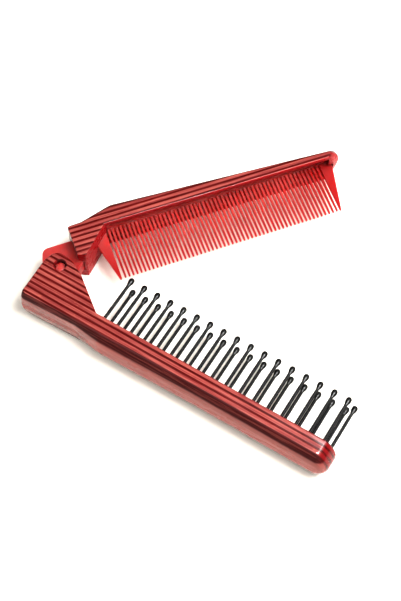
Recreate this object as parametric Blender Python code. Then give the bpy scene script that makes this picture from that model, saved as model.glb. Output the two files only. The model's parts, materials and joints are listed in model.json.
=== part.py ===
"""A folding comb, half open and lying flat.

A brush arm with two rows of ball-tipped pins and a comb arm with fine teeth turn on one hinge pin.
Each arm is drawn in its own plan: "along" runs from the hinge pin to the arm's tip, and "inner" is the
side that the pins or the teeth point to. Sizes are in millimetres, and MM turns them into metres.
"""

import math

import bmesh
import bpy

MM = 0.001

# The whole
ARM_ANGLE = 51.3  # degrees from the brush arm to the comb arm, as it lies
THICKNESS = 15.0
MIDDLE = THICKNESS / 2
GAP = 0.3  # between neighbouring pieces

# Section of both shells: flat faces, joined round the back by an arc
ARC_HALF_ANGLE = 52.0  # degrees, where the arc meets a flat face
ARC_STEPS = 8
WALL = 1.6
CORNER_STEPS = 4

# Hinge
PIN_RADIUS = 1.85
PIN_RECESS = 1.2  # how deep the pin's domed ends sit in their holes
PIN_DOME = 0.5
CHEEK = 4.4  # thickness of the brush shell above and below the tongue
HINGE_POCKET_RADIUS = 11.6
POCKET_STEPS = 16
TONGUE_EYE_RADIUS = 5.2
TONGUE_EYE_STEPS = 10
TONGUE_OUTER = -11.2  # inner coordinate of the tongue's far side
ROUND_SIDES = 24

# Brush shell, in its plan
BRUSH_END = -6.3
BRUSH_TIP = 118.6
BRUSH_INNER = -9.0
BRUSH_WAIST = -18.1  # how far the rounded back reaches at the tip
BRUSH_WAIST_MIDDLE = -17.9  # the same where the back is a little hollow
BRUSH_WAIST_SHOULDER = -18.6
BRUSH_END_BULGE = 1.0  # how far the corner at the hinge end reaches past the flat faces
BRUSH_FLAT = -14.9  # where the flat faces end along the spine
BRUSH_FLAT_END = -16.0  # the same at the hinge end
BRUSH_SHOULDER = 28.0  # along, where the spine starts
BRUSH_MIDDLE = 66.0  # along, halfway down the spine
BRUSH_CHANNEL_START = 14.5
BRUSH_CHANNEL_END = 114.2
BRUSH_CHANNEL_DEPTH = -13.9
TIP_BULGE_START = 112.5  # along, where the brush arm's tip starts to round down
TIP_BULGE_KEPT = 0.25  # share of that length which the flat faces keep

# Comb shell, in its plan
COMB_END = 7.1
COMB_TIP = 113.9
COMB_INNER_ROOT = -11.1
COMB_INNER_TIP = -10.3
COMB_SHOULDER = 24.5
COMB_WAIST_SHOULDER = -20.8
COMB_WAIST_TIP = -15.2
COMB_BULGE_END = 2.2
COMB_BULGE_SHOULDER = 3.2
COMB_BULGE_TIP = 2.4
COMB_TIP_BULGE_START = 107.0
COMB_TIP_BULGE_KEPT = 0.35
COMB_CHANNEL_START = 20.9
COMB_CHANNEL_END = 108.6

# Pins
PIN_ROW_COUNT = 17
PIN_PITCH = 5.53
FIRST_PIN = 24.4
ROW_SPACING = 8.5
PIN_SHAFT_RADIUS = 0.6
PIN_BALL_RADIUS = 1.08
PIN_FOOT = -12.6
PIN_TOP = 10.3
PIN_SIDES = 8
LAST_PIN = FIRST_PIN + (PIN_ROW_COUNT - 0.5) * PIN_PITCH

# Bristle bed
BED_START = 21.0
BED_FACE = -9.8
BED_BACK = -13.6
COLLAR_RADIUS = 1.15
COLLAR_FACE = -8.4
SOCKET_RADIUS = 0.83
SOCKET_FLOOR = -12.9

# Comb insert
TOOTH_COUNT = 55
TOOTH_PITCH = 1.537
FIRST_TOOTH = 21.5
TOOTH_ROOT = -12.2
TOOTH_TIP = 8.8
TOOTH_POINT = 0.5
TOOTH_ROOT_HALF = 0.5
TOOTH_TIP_HALF = 0.33
PLATE_BACK = -13.4
PLATE_BACK_HALF = 0.85  # half thickness of the toothed plate at its back
PLATE_TIP_HALF = 0.42
SPINE_HALF = 2.0
SPINE_FACE = -12.5
SPINE_START = 20.8
SPINE_END = 110.3

BRUSH_RED = (0.55, 0.075, 0.065, 1.0)
COMB_RED = (0.60, 0.06, 0.055, 1.0)
PIN_BLACK = (0.012, 0.011, 0.011, 1.0)


def clear_scene():
    for obj in list(bpy.data.objects):
        bpy.data.objects.remove(obj, do_unlink=True)


def make_material(name, colour, roughness):
    material = bpy.data.materials.new(name)
    material.use_nodes = True
    shader = material.node_tree.nodes["Principled BSDF"]
    shader.inputs["Base Color"].default_value = colour
    shader.inputs["Roughness"].default_value = roughness
    shader.inputs["Metallic"].default_value = 0.0
    return material


def blend(start, end, share):
    return start + (end - start) * share


def rounded(corners, steps=CORNER_STEPS):
    """The outline through corners given as (along, inner, radius), each rounded to its radius."""
    outline = []
    for index, (x, y, radius) in enumerate(corners):
        before = corners[index - 1]
        after = corners[(index + 1) % len(corners)]
        if radius == 0:
            outline.append((x, y))
            continue
        angle_in = math.atan2(y - before[1], x - before[0])
        angle_out = math.atan2(after[1] - y, after[0] - x)
        turn = (angle_out - angle_in + math.pi) % (2 * math.pi) - math.pi
        reach = radius * math.tan(abs(turn) / 2)
        side = math.copysign(radius, turn)
        start_x = x - reach * math.cos(angle_in)
        start_y = y - reach * math.sin(angle_in)
        centre_x = start_x - side * math.sin(angle_in)
        centre_y = start_y + side * math.cos(angle_in)
        for step in range(steps + 1):
            angle = angle_in + turn * step / steps
            outline.append((centre_x + side * math.sin(angle), centre_y - side * math.cos(angle)))
    return outline


def grown(outline, distance):
    """The outline moved outwards by a distance, corner by corner. It runs counterclockwise."""
    moved = []
    for index, (x, y) in enumerate(outline):
        before = outline[index - 1]
        after = outline[(index + 1) % len(outline)]
        angle_in = math.atan2(y - before[1], x - before[0])
        angle_out = math.atan2(after[1] - y, after[0] - x)
        half_turn = ((angle_out - angle_in + math.pi) % (2 * math.pi) - math.pi) / 2
        reach = distance / math.cos(half_turn)
        outwards = angle_in + half_turn - math.pi / 2
        moved.append((x + reach * math.cos(outwards), y + reach * math.sin(outwards)))
    return moved


def mesh_object(name, bm):
    """A new object of this mesh. Loops that were drawn clockwise are turned to face out."""
    bmesh.ops.recalc_face_normals(bm, faces=bm.faces)
    mesh = bpy.data.meshes.new(name)
    bm.to_mesh(mesh)
    bm.free()
    obj = bpy.data.objects.new(name, mesh)
    bpy.context.scene.collection.objects.link(obj)
    return obj


def stacked(name, levels):
    """A closed body through outlines given as (height, outline), all with equally many points."""
    bm = bmesh.new()
    rings = [
        [bm.verts.new((x * MM, y * MM, height * MM)) for x, y in outline] for height, outline in levels
    ]
    for lower, upper in zip(rings, rings[1:]):
        for index in range(len(lower)):
            after = (index + 1) % len(lower)
            bm.faces.new((lower[index], lower[after], upper[after], upper[index]))
    bm.faces.new(list(reversed(rings[0])))
    bm.faces.new(rings[-1])
    return mesh_object(name, bm)


def prism(name, outline, bottom, top):
    return stacked(name, [(bottom, outline), (top, outline)])


def box_outline(start, end, low, high):
    return [(start, low), (end, low), (end, high), (start, high)]


def circle_outline(radius, sides, centre=(0.0, 0.0)):
    angles = [2 * math.pi * (side + 0.5) / sides for side in range(sides)]
    return [(centre[0] + radius * math.cos(a), centre[1] + radius * math.sin(a)) for a in angles]


def turned(name, profile, sides):
    """A body turned about the Z axis through profile points given as (height, radius)."""
    bm = bmesh.new()
    ends = []
    for height, radius in profile:
        ends.append(bm.verts.new((radius * MM, 0, height * MM)))
    edges = [bm.edges.new(pair) for pair in zip(ends, ends[1:])]
    bmesh.ops.spin(
        bm,
        geom=ends + edges,
        cent=(0, 0, 0),
        axis=(0, 0, 1),
        angle=2 * math.pi,
        steps=sides,
        use_merge=True,
    )
    bmesh.ops.remove_doubles(bm, verts=bm.verts, dist=1e-7)
    bmesh.ops.holes_fill(bm, edges=[edge for edge in bm.edges if edge.is_boundary], sides=0)
    return mesh_object(name, bm)


def smooth(obj, degrees=35):
    obj.data.shade_smooth()
    obj.data.set_sharp_from_angle(angle=math.radians(degrees))


def boolean(obj, other, operation):
    """Cuts the other object from this one, or joins it on, and keeps it as a hidden guide."""
    modifier = obj.modifiers.new(other.name, "BOOLEAN")
    modifier.operation = operation
    modifier.solver = "EXACT"
    modifier.object = other
    other.hide_render = True
    other.display_type = "WIRE"


def arc_levels():
    """Heights through the thickness, each with the share of the bulge that the back has lost there."""
    steepest = math.radians(ARC_HALF_ANGLE)
    for step in range(ARC_STEPS + 1):
        angle = steepest * (2 * step / ARC_STEPS - 1)
        height = MIDDLE + MIDDLE * math.sin(angle) / math.sin(steepest)
        yield height, (1 - math.cos(angle)) / (1 - math.cos(steepest))


def bulging_shell(name, waist, flat):
    """A body whose outline is waist at half its thickness and flat at both faces, with an arc between."""
    return stacked(
        name,
        [
            (height, [(blend(w[0], f[0], lost), blend(w[1], f[1], lost)) for w, f in zip(waist, flat)])
            for height, lost in arc_levels()
        ],
    )


def brush_waist():
    """The brush arm at half its thickness: wide hinge end, shoulder, spine and rounded tip."""
    return rounded(
        [
            (BRUSH_END, -17.8, 1.6),
            (17.0, -16.7, 9.0),
            (BRUSH_SHOULDER, BRUSH_WAIST_SHOULDER, 9.0),
            (BRUSH_MIDDLE, BRUSH_WAIST_MIDDLE, 60.0),
            (BRUSH_TIP, BRUSH_WAIST, 4.4),
            (BRUSH_TIP, BRUSH_INNER, 0.9),
            (21.8, BRUSH_INNER - 0.2, 1.0),
            (8.6, 0.75, 12.0),
            (2.4, 4.0, 10.0),
            (-4.4, 4.6, 3.4),
            (-6.1, -1.0, 6.0),
        ]
    )


def brush_flat(waist):
    """The same outline on the flat faces, drawn in along the back and at the tip."""
    core = BRUSH_FLAT + 1.6
    outline = []
    for x, y in waist:
        if y < core:
            edge = BRUSH_FLAT_END if x < 0 else blend(BRUSH_FLAT_END, BRUSH_FLAT, min(x / 50, 1))
            if x < 0:
                x += BRUSH_END_BULGE * (core - y) / (core - brush_back(x))
            y = core + (y - core) * (edge - core) / (brush_back(x) - core)
        if x > TIP_BULGE_START:
            x = TIP_BULGE_START + (x - TIP_BULGE_START) * TIP_BULGE_KEPT
        outline.append((x, y))
    return outline


def brush_back(x):
    """Inner coordinate of the brush arm's back at half its thickness."""
    if x < 17.0:
        return blend(-17.8, -16.7, (x - BRUSH_END) / (17.0 - BRUSH_END))
    if x < BRUSH_SHOULDER:
        return blend(-16.7, BRUSH_WAIST_SHOULDER, (x - 17.0) / (BRUSH_SHOULDER - 17.0))
    if x < BRUSH_MIDDLE:
        share = (x - BRUSH_SHOULDER) / (BRUSH_MIDDLE - BRUSH_SHOULDER)
        return blend(BRUSH_WAIST_SHOULDER, BRUSH_WAIST_MIDDLE, share)
    return blend(BRUSH_WAIST_MIDDLE, BRUSH_WAIST, (x - BRUSH_MIDDLE) / (BRUSH_TIP - BRUSH_MIDDLE))


def comb_back(x):
    """Inner coordinate of the comb arm's back at half its thickness."""
    if x < 12.5:
        return blend(-16.6, -17.0, (x - COMB_END) / (12.5 - COMB_END))
    if x < COMB_SHOULDER:
        return blend(-17.0, COMB_WAIST_SHOULDER, (x - 12.5) / (COMB_SHOULDER - 12.5))
    return blend(COMB_WAIST_SHOULDER, COMB_WAIST_TIP, (x - COMB_SHOULDER) / (COMB_TIP - COMB_SHOULDER))


def comb_bulge(x):
    if x < COMB_SHOULDER:
        share = max(x - COMB_END, 0) / (COMB_SHOULDER - COMB_END)
        return blend(COMB_BULGE_END, COMB_BULGE_SHOULDER, share)
    return blend(COMB_BULGE_SHOULDER, COMB_BULGE_TIP, (x - COMB_SHOULDER) / (COMB_TIP - COMB_SHOULDER))


def comb_waist():
    """The comb arm at half its thickness: the square hinge end, the shoulder and the tapering spine."""
    return rounded(
        [
            (COMB_END, -16.6, 1.4),
            (12.5, -17.0, 7.0),
            (COMB_SHOULDER, COMB_WAIST_SHOULDER, 8.0),
            (COMB_TIP, COMB_WAIST_TIP, 1.8),
            (COMB_TIP, -12.7, 0.8),
            (COMB_TIP - 3.2, COMB_INNER_TIP, 0.8),
            (20.2, COMB_INNER_ROOT, 0.6),
            (9.9, -0.6, 0.5),
            (COMB_END, -2.1, 0.4),
        ]
    )


def comb_flat(waist):
    """The same outline on the flat faces, drawn in along the back and at the tip."""
    outline = []
    for x, y in waist:
        core = comb_back(x) + comb_bulge(x) + 1.3
        if y < core:
            y = core + (y - core) * 1.3 / (core - comb_back(x))
        if x > COMB_TIP_BULGE_START:
            x = COMB_TIP_BULGE_START + (x - COMB_TIP_BULGE_START) * COMB_TIP_BULGE_KEPT
        outline.append((x, y))
    return outline


def pocket_outline():
    """Room for the tongue: round the hinge pin towards the tip, and straight out past the hinge end."""
    angles = [math.pi * (step / POCKET_STEPS - 0.5) for step in range(POCKET_STEPS + 1)]
    arc = [(HINGE_POCKET_RADIUS * math.cos(a), HINGE_POCKET_RADIUS * math.sin(a)) for a in angles]
    outside = BRUSH_END - 3.0
    return arc + [(outside, HINGE_POCKET_RADIUS), (outside, -HINGE_POCKET_RADIUS)]


def brush_shell(material):
    waist = brush_waist()
    shell = bulging_shell("brush_shell", waist, brush_flat(waist))
    channel = prism(
        "cut_brush_channel",
        box_outline(BRUSH_CHANNEL_START, BRUSH_CHANNEL_END, BRUSH_CHANNEL_DEPTH, 2.0),
        WALL,
        THICKNESS - WALL,
    )
    last_socket = prism(
        "cut_last_socket",
        box_outline(LAST_PIN - 3.0, LAST_PIN + 1.7, BRUSH_CHANNEL_DEPTH, 2.0),
        MIDDLE - 2.1,
        MIDDLE + 2.1,
    )
    pocket = prism("cut_hinge_pocket", pocket_outline(), CHEEK, THICKNESS - CHEEK)
    hole = prism("cut_pin_hole", circle_outline(PIN_RADIUS + GAP, ROUND_SIDES), -1.0, THICKNESS + 1.0)
    for cutter in (channel, last_socket, pocket, hole):
        boolean(shell, cutter, "DIFFERENCE")
    smooth(shell)
    shell.data.materials.append(material)
    return [shell, channel, last_socket, pocket, hole]


def pin_places():
    """Along and height of each pin: two rows, then the single one at the tip."""
    for index in range(PIN_ROW_COUNT):
        for height in (MIDDLE + ROW_SPACING / 2, MIDDLE - ROW_SPACING / 2):
            yield FIRST_PIN + index * PIN_PITCH, height
    yield LAST_PIN, MIDDLE


def rods(name, radius, sides, start, end):
    """One mesh of separate rods across the arm, one at each pin's place."""
    bm = bmesh.new()
    for along, height in pin_places():
        rings = []
        for inner in (start, end):
            circle = circle_outline(radius, sides, (along, height))
            rings.append([bm.verts.new((x * MM, inner * MM, z * MM)) for x, z in circle])
        for index in range(sides):
            after = (index + 1) % sides
            bm.faces.new((rings[0][index], rings[0][after], rings[1][after], rings[1][index]))
        bm.faces.new(rings[0])
        bm.faces.new(rings[1])
    return mesh_object(name, bm)


def bristle_bed(material):
    bed = prism(
        "bristle_bed",
        box_outline(BED_START, BRUSH_CHANNEL_END - GAP, BED_BACK, BED_FACE),
        WALL + GAP,
        THICKNESS - WALL - GAP,
    )
    last_block = prism(
        "join_last_block",
        box_outline(LAST_PIN - 3.0, LAST_PIN + 1.4, BED_BACK + 0.1, BED_FACE - 0.1),
        MIDDLE - 1.8,
        MIDDLE + 1.8,
    )
    collars = rods("join_collars", COLLAR_RADIUS, PIN_SIDES, BED_FACE - 1.0, COLLAR_FACE)
    sockets = rods("cut_sockets", SOCKET_RADIUS, PIN_SIDES, SOCKET_FLOOR, COLLAR_FACE + 2.0)
    boolean(bed, last_block, "UNION")
    boolean(bed, collars, "UNION")
    boolean(bed, sockets, "DIFFERENCE")
    bed.data.materials.append(material)
    return [bed, last_block, collars, sockets]


def brush_pins(material):
    """The pins share one turned mesh: a shaft that swells into a drop-shaped ball."""
    ball_middle = PIN_TOP - PIN_BALL_RADIUS
    profile = [
        (PIN_FOOT, PIN_SHAFT_RADIUS),
        (ball_middle - 2.5, PIN_SHAFT_RADIUS),
        (ball_middle - 0.3, PIN_BALL_RADIUS),
        (ball_middle + 0.35, PIN_BALL_RADIUS * 0.94),
        (ball_middle + 0.78, PIN_BALL_RADIUS * 0.6),
        (PIN_TOP, 0.0),
    ]
    pins = []
    mesh = None
    for number, (along, height) in enumerate(pin_places(), 1):
        name = f"pin_{number:02d}"
        if mesh is None:
            pin = turned(name, profile, PIN_SIDES)
            smooth(pin, 50)
            pin.data.materials.append(material)
            mesh = pin.data
        else:
            pin = bpy.data.objects.new(name, mesh)
            bpy.context.scene.collection.objects.link(pin)
        pin.location = (along * MM, 0, height * MM)
        pin.rotation_euler = (-math.pi / 2, 0, 0)
        pins.append(pin)
    return pins


def hinge_pin(material):
    low = PIN_RECESS
    high = THICKNESS - PIN_RECESS
    profile = [
        (low, 0.0),
        (low + PIN_DOME * 0.3, PIN_RADIUS * 0.6),
        (low + PIN_DOME, PIN_RADIUS),
        (high - PIN_DOME, PIN_RADIUS),
        (high - PIN_DOME * 0.3, PIN_RADIUS * 0.6),
        (high, 0.0),
    ]
    pin = turned("hinge_pin", profile, ROUND_SIDES)
    smooth(pin, 50)
    pin.data.materials.append(material)
    return pin


def mirrored(outline):
    """The comb arm's plan is the brush arm's, turned over: its inner side is on the right."""
    return [(x, -y) for x, y in reversed(outline)]


def tongue_outline():
    """The flat eye round the hinge pin, and the root that runs into the comb shell."""
    mouth_x, mouth_y = 8.6, -1.16
    reach = math.hypot(mouth_x, mouth_y)
    leave = math.atan2(mouth_y, mouth_x) + math.acos(TONGUE_EYE_RADIUS / reach)
    eye = [
        blend(leave, math.pi, step / TONGUE_EYE_STEPS) for step in range(TONGUE_EYE_STEPS + 1)
    ]
    corner = rounded(
        [(12.0, TONGUE_OUTER, 0), (-3.9, TONGUE_OUTER, 2.6), (-5.6, -5.4, 1.5), (-5.6, 0, 0)]
    )[1:-1]
    return (
        [(TONGUE_EYE_RADIUS * math.cos(a), TONGUE_EYE_RADIUS * math.sin(a)) for a in eye]
        + corner[::-1]
        + [(12.0, TONGUE_OUTER), (22.5, -16.2), (22.5, -12.6), (16.9, -11.4), (mouth_x, mouth_y)]
    )


def toothed_plate_outline():
    """The plate's plan: a slanting guard tooth, the fine teeth, and the guard tooth at the tip."""
    shoulder = TOOTH_TIP - TOOTH_POINT
    outline = [(13.0, PLATE_BACK), (13.0, -9.4), (15.7, -7.1)]
    outline += [(19.35, shoulder), (19.7, TOOTH_TIP + 0.2), (20.05, shoulder), (20.43, TOOTH_ROOT)]
    for index in range(TOOTH_COUNT):
        middle = FIRST_TOOTH + index * TOOTH_PITCH
        outline += [
            (middle - TOOTH_ROOT_HALF, TOOTH_ROOT),
            (middle - TOOTH_TIP_HALF, shoulder),
            (middle, TOOTH_TIP),
            (middle + TOOTH_TIP_HALF, shoulder),
            (middle + TOOTH_ROOT_HALF, TOOTH_ROOT),
        ]
    outline += [(105.57, TOOTH_ROOT), (105.52, shoulder), (105.85, TOOTH_TIP), (106.2, shoulder)]
    outline += [(SPINE_END, -10.4), (SPINE_END, PLATE_BACK + 0.3)]
    return outline


def toothed_plate(name):
    """The plate thins evenly from its back to the tips of its teeth."""
    outline = mirrored(toothed_plate_outline())
    bm = bmesh.new()
    sides = []
    for direction in (-1, 1):
        ring = []
        for x, y in outline:
            share = (-y - PLATE_BACK) / (TOOTH_TIP - PLATE_BACK)
            height = MIDDLE + direction * blend(PLATE_BACK_HALF, PLATE_TIP_HALF, share)
            ring.append(bm.verts.new((x * MM, y * MM, height * MM)))
        sides.append(ring)
    for index in range(len(outline)):
        after = (index + 1) % len(outline)
        bm.faces.new((sides[0][index], sides[0][after], sides[1][after], sides[1][index]))
    bm.faces.new(sides[0])
    bm.faces.new(sides[1])
    return mesh_object(name, bm)


def spine_outline(extra):
    """The insert's spine, with its back a constant distance inside the shell's back."""
    inset = 2.1 - extra
    back = [(x, comb_back(x) + inset) for x in (SPINE_START - extra, COMB_SHOULDER, SPINE_END + extra)]
    return back + [(SPINE_END + extra, SPINE_FACE), (SPINE_START - extra, SPINE_FACE)]


def comb_insert(material):
    insert = toothed_plate("comb_insert")
    spine = prism("join_spine", mirrored(spine_outline(0)), MIDDLE - SPINE_HALF, MIDDLE + SPINE_HALF)
    tongue = prism(
        "join_tongue", mirrored(tongue_outline()[::-1]), CHEEK + GAP, THICKNESS - CHEEK - GAP
    )
    eye = prism("cut_tongue_eye", circle_outline(PIN_RADIUS + GAP, ROUND_SIDES), 0.0, THICKNESS)
    boolean(insert, spine, "UNION")
    boolean(insert, tongue, "UNION")
    boolean(insert, eye, "DIFFERENCE")
    insert.data.materials.append(material)
    return [insert, spine, tongue, eye]


def comb_shell(material):
    waist = comb_waist()
    shell = bulging_shell("comb_shell", mirrored(waist), mirrored(comb_flat(waist)))
    stations = (COMB_CHANNEL_START, COMB_SHOULDER, 95.0, COMB_CHANNEL_END)
    floor = [(x, min(comb_back(x) + comb_bulge(x) + 0.5, -12.0)) for x in stations]
    channel = prism(
        "cut_comb_channel",
        mirrored(floor + [(COMB_CHANNEL_END, -4.0), (COMB_CHANNEL_START, -4.0)]),
        WALL,
        THICKNESS - WALL,
    )
    groove = spine_outline(GAP)[:-2] + [(SPINE_END + GAP, -4.0), (SPINE_START - GAP, -4.0)]
    spine_groove = prism(
        "cut_spine_groove", mirrored(groove), MIDDLE - SPINE_HALF - GAP, MIDDLE + SPINE_HALF + GAP
    )
    slot = prism(
        "cut_tongue_slot", mirrored(grown(tongue_outline(), GAP)[::-1]), CHEEK, THICKNESS - CHEEK
    )
    guard = [(12.7, -13.7), (24.0, -13.7), (24.0, -6.0), (16.8, -5.4), (15.6, -6.65), (12.7, -9.2)]
    guard_slot = prism("cut_guard_slot", mirrored(guard), MIDDLE - 1.15, MIDDLE + 1.15)
    for cutter in (channel, spine_groove, slot, guard_slot):
        boolean(shell, cutter, "DIFFERENCE")
    smooth(shell)
    shell.data.materials.append(material)
    return [shell, channel, spine_groove, slot, guard_slot]


def empty(name, parent=None):
    obj = bpy.data.objects.new(name, None)
    bpy.context.scene.collection.objects.link(obj)
    obj.parent = parent
    return obj


def stand_on_origin(base):
    """Moves the whole so that the middle of its underside lies on the origin."""
    bpy.context.view_layer.update()
    graph = bpy.context.evaluated_depsgraph_get()
    corners = []
    for obj in bpy.context.scene.objects:
        if obj.type == "MESH" and not obj.hide_render:
            shape = obj.evaluated_get(graph)
            corners += [shape.matrix_world @ vertex.co for vertex in shape.data.vertices]
    for axis in range(2):
        low = min(corner[axis] for corner in corners)
        high = max(corner[axis] for corner in corners)
        base.location[axis] = -round((low + high) / 2, 5)


def main():
    clear_scene()
    shell_red = make_material("striped_red_shell", BRUSH_RED, 0.28)
    plain_red = make_material("plain_red_plastic", COMB_RED, 0.35)
    black = make_material("black_pins", PIN_BLACK, 0.22)

    base = empty("brush_arm")
    hinge = empty("comb_arm_hinge", base)
    hinge.rotation_euler = (0, 0, math.radians(ARM_ANGLE))

    brush_pieces = brush_shell(shell_red) + bristle_bed(plain_red) + brush_pins(black)
    brush_pieces.append(hinge_pin(plain_red))
    comb_pieces = comb_shell(shell_red) + comb_insert(plain_red)
    for piece in brush_pieces:
        piece.parent = base
    for piece in comb_pieces:
        piece.parent = hinge
    stand_on_origin(base)


main()
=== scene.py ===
"""The finished look of a folding comb, built round its packed model.

Each arm is drawn in its own plan, in millimetres: "along" (x) runs from the hinge pin to the arm's
tip, and "inner" (y) is the side that the pins or the teeth point to. Each piece turns with the arm
that carries it.
"""

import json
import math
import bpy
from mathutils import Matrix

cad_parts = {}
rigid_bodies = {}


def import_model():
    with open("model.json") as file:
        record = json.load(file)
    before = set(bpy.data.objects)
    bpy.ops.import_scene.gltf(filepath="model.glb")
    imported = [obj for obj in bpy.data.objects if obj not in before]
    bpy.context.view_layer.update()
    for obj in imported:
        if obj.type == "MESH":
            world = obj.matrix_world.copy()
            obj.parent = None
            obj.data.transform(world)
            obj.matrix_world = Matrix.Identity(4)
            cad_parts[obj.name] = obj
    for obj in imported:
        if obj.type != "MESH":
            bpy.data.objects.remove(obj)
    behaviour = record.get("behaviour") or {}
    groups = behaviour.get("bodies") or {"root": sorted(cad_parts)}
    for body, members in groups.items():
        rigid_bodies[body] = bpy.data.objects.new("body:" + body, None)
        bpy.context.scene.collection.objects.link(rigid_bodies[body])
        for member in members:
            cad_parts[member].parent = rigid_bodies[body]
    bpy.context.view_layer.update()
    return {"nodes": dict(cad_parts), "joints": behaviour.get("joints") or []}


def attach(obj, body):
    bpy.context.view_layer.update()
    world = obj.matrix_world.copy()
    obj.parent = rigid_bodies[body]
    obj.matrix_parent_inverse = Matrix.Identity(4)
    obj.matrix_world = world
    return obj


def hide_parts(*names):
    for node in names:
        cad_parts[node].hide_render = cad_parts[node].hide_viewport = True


bl_info = {
    "name": "Folding Comb",
    "version": (1, 0, 0),
    "blender": (4, 5, 0),
    "location": "View3D > Sidebar > Folding Comb",
    "description": "Builds a folding comb with striped shells, ball-tipped pins and fine teeth",
    "category": "Add Mesh",
}

import bmesh
import bpy
from mathutils import Matrix, Vector

for startup_object in list(bpy.data.objects):
    bpy.data.objects.remove(startup_object, do_unlink=True)
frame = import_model()

MM = 0.001
HINGE = Vector(frame["joints"][0]["pos_m"]) * Vector((1, 1, 0))
ARM_ANGLE = 51.3  # degrees from the brush arm to the comb arm, as it lies
BRUSH_BODY = "brush_arm"
COMB_BODY = "comb_arm"

# Section of both shells
THICKNESS = 15.0
MIDDLE = THICKNESS / 2
WALL = 1.6
ARC_HALF_ANGLE = 52.0  # degrees, where the round back meets a flat face
ARC_STEPS = 28
RIM_STEPS = 6
CORNER_STEPS = 10
SMALLEST_CORNER = 0.12
MITRE_LIMIT = 0.5  # least cosine of half a turn, so that sharp corners don't reach far out
MERGE_DISTANCE = 0.0001
SHARP_ANGLE = 32  # degrees
GAP = 0.3  # between neighbouring pieces
PAST = 1.0  # how far a cutter reaches past a face

# Hinge
PIN_RADIUS = 1.85
PIN_RECESS = 1.2
PIN_DOME = 0.5
PIN_SIDES = 48
HOLE_RIM = 0.3
HOLE_SIDES = 64
CHEEK = 4.4
POCKET_RADIUS = 11.6
POCKET_REACH = 3.0  # past the shell's hinge end
POCKET_STEPS = 48
TONGUE_EYE_RADIUS = 5.2
TONGUE_EYE_STEPS = 28
TONGUE_OUTER = -11.2
TONGUE_HEEL = (  # along, inner, corner radius
    (12.0, TONGUE_OUTER, 0),
    (-3.9, TONGUE_OUTER, 2.6),
    (-5.6, -5.4, 1.5),
    (-5.6, 0, 0),
)
TONGUE_ROOT = (  # along, inner
    (12.0, TONGUE_OUTER),
    (22.5, -16.2),
    (22.5, -12.6),
    (16.9, -11.4),
)
TONGUE_NECK = (8.6, -1.16)  # where the straight side ends that leaves the eye on its tangent
TONGUE_RIM_STEPS = 5

# Brush shell
BRUSH_END = -6.3
BRUSH_TIP = 118.6
BRUSH_INNER = -9.0
BRUSH_BACK = (  # along, inner, corner radius, share of an inset that the side after it loses
    (BRUSH_END, -17.8, 1.6, 1.6),
    (17.0, -16.7, 9.0, 2.2),
    (28.0, -18.6, 9.0, 2.8),
    (66.0, -17.9, 60.0, 3.0),
    (BRUSH_TIP, -18.1, 4.4, 3.6),
)
BRUSH_FRONT = (  # the same columns, from the tip back to the hinge end
    (BRUSH_TIP, BRUSH_INNER, 0.9, 1.0),
    (21.8, BRUSH_INNER - 0.2, 1.0, 1.0),
    (8.6, 0.75, 12.0, 1.0),
    (2.4, 4.0, 10.0, 1.0),
    (-4.4, 4.6, 3.4, 1.0),
    (-6.1, -1.0, 6.0, 1.0),
)
BRUSH_END_BULGE = 1.0  # how far the hinge end draws in towards the flat faces
BRUSH_FLAT_END = -16.0
BRUSH_FLAT = -14.9
BRUSH_FLAT_RUN = 50.0  # from the hinge to where the flat face has its full width
BRUSH_ROUND = 1.6  # depth inside the flat face's edge from which the outline is drawn in
BRUSH_TIP_BULGE_START = 112.5
BRUSH_TIP_BULGE_KEPT = 0.25  # share of the tip's length that the flat faces keep
BRUSH_CHANNEL_START = 14.5
BRUSH_CHANNEL_END = 114.2
BRUSH_CHANNEL_DEPTH = -13.9
BRUSH_MOUTH = 2.0  # inner coordinate, clear of the shell, where its cutters end
BRUSH_FIRST_STRIPE = -14.1  # across the arm's plan

# Comb shell
COMB_END = 7.1
COMB_SHOULDER = 24.5
COMB_TIP = 113.9
COMB_BACK = (  # the columns of BRUSH_BACK
    (COMB_END, -16.6, 1.4, 2.4),
    (12.5, -17.0, 7.0, 2.6),
    (COMB_SHOULDER, -20.8, 8.0, 3.0),
    (COMB_TIP, -15.2, 1.8, 2.4),
)
COMB_FRONT = (
    (COMB_TIP, -12.7, 0.8, 1.0),
    (COMB_TIP - 3.2, -10.3, 0.8, 1.0),
    (20.2, -11.1, 0.6, 1.0),
    (9.9, -0.6, 0.5, 1.0),
    (COMB_END, -2.1, 0.4, 1.0),
)
COMB_BULGE = (  # along, how far the back bulges past the flat faces
    (COMB_END, 2.2),
    (COMB_SHOULDER, 3.2),
    (COMB_TIP, 2.4),
)
COMB_ROUND = 1.3  # as BRUSH_ROUND
COMB_TIP_BULGE_START = 107.0
COMB_TIP_BULGE_KEPT = 0.35
COMB_RIM_SHARE = 0.8  # of the brush arm's edge radius
COMB_CHANNEL_START = 20.9
COMB_CHANNEL_BEND = 95.0
COMB_CHANNEL_END = 108.6
COMB_CHANNEL_DEPTH = -12.0
COMB_FLOOR = 0.5  # from the flat face's edge to the channel's floor
COMB_MOUTH = -4.0  # as BRUSH_MOUTH
COMB_FIRST_STRIPE = 12.3
GUARD_SLOT = (  # along, inner
    (12.7, -13.7),
    (24.0, -13.7),
    (24.0, -6.0),
    (16.8, -5.4),
    (15.6, -6.65),
    (12.7, -9.2),
)
GUARD_SLOT_HALF = 1.15

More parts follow.
